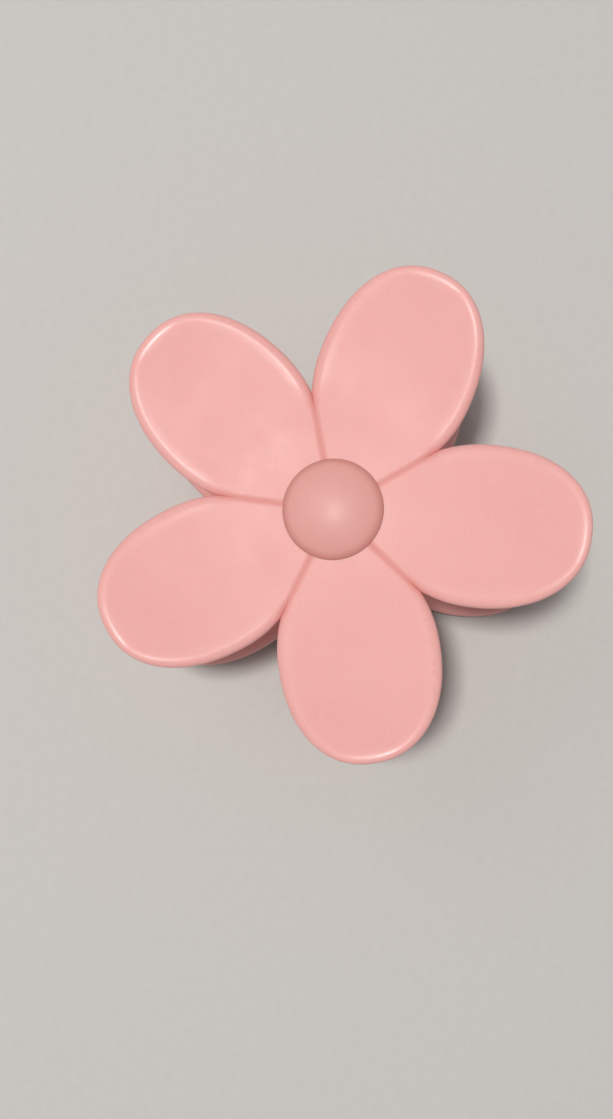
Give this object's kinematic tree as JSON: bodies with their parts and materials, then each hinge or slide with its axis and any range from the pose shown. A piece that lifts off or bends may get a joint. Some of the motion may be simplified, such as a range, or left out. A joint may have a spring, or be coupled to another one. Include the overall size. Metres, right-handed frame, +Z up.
{
  "type": "flower claw hair clip",
  "caption": "Spring-loaded claw hair clip: mirrored five-petal flower halves on a hinge pin, with interlocking curved teeth and round centre buttons.",
  "frame": {"origin": "middle of the bounding box's bottom, on the plane that the back flower's petal tips rest on", "axes": "+Z up, square to the back flower's face and out of the surface it lies on; +X along the hinge pin; +Y from the jaw towards the handle petals"},
  "size_m": [0.0734, 0.074, 0.0482],
  "materials": {
    "petal_plastic": "satin gloss, moulded pink",
    "button_plastic": "soft satin, moulded pink",
    "steel": "drawn spring wire"
  },
  "bodies": {
    "back_half": {"back_flower_half": "petal_plastic", "back_centre_button": "button_plastic", "hinge_pin": "steel", "torsion_spring": "steel"},
    "front_half": {"front_flower_half": "petal_plastic", "front_centre_button": "button_plastic"}
  },
  "joints": [
    {"name": "jaw_hinge", "type": "hinge", "parent": "back_half", "child": "front_half", "pos_m": [0, 0.00371, 0.02139], "axis": [-1, 0, 0], "range_deg": [0, 60], "stiffness_Nm_per_rad": 0.08, "springref_deg": -68.75, "deforming": ["torsion_spring"]}
  ]
}
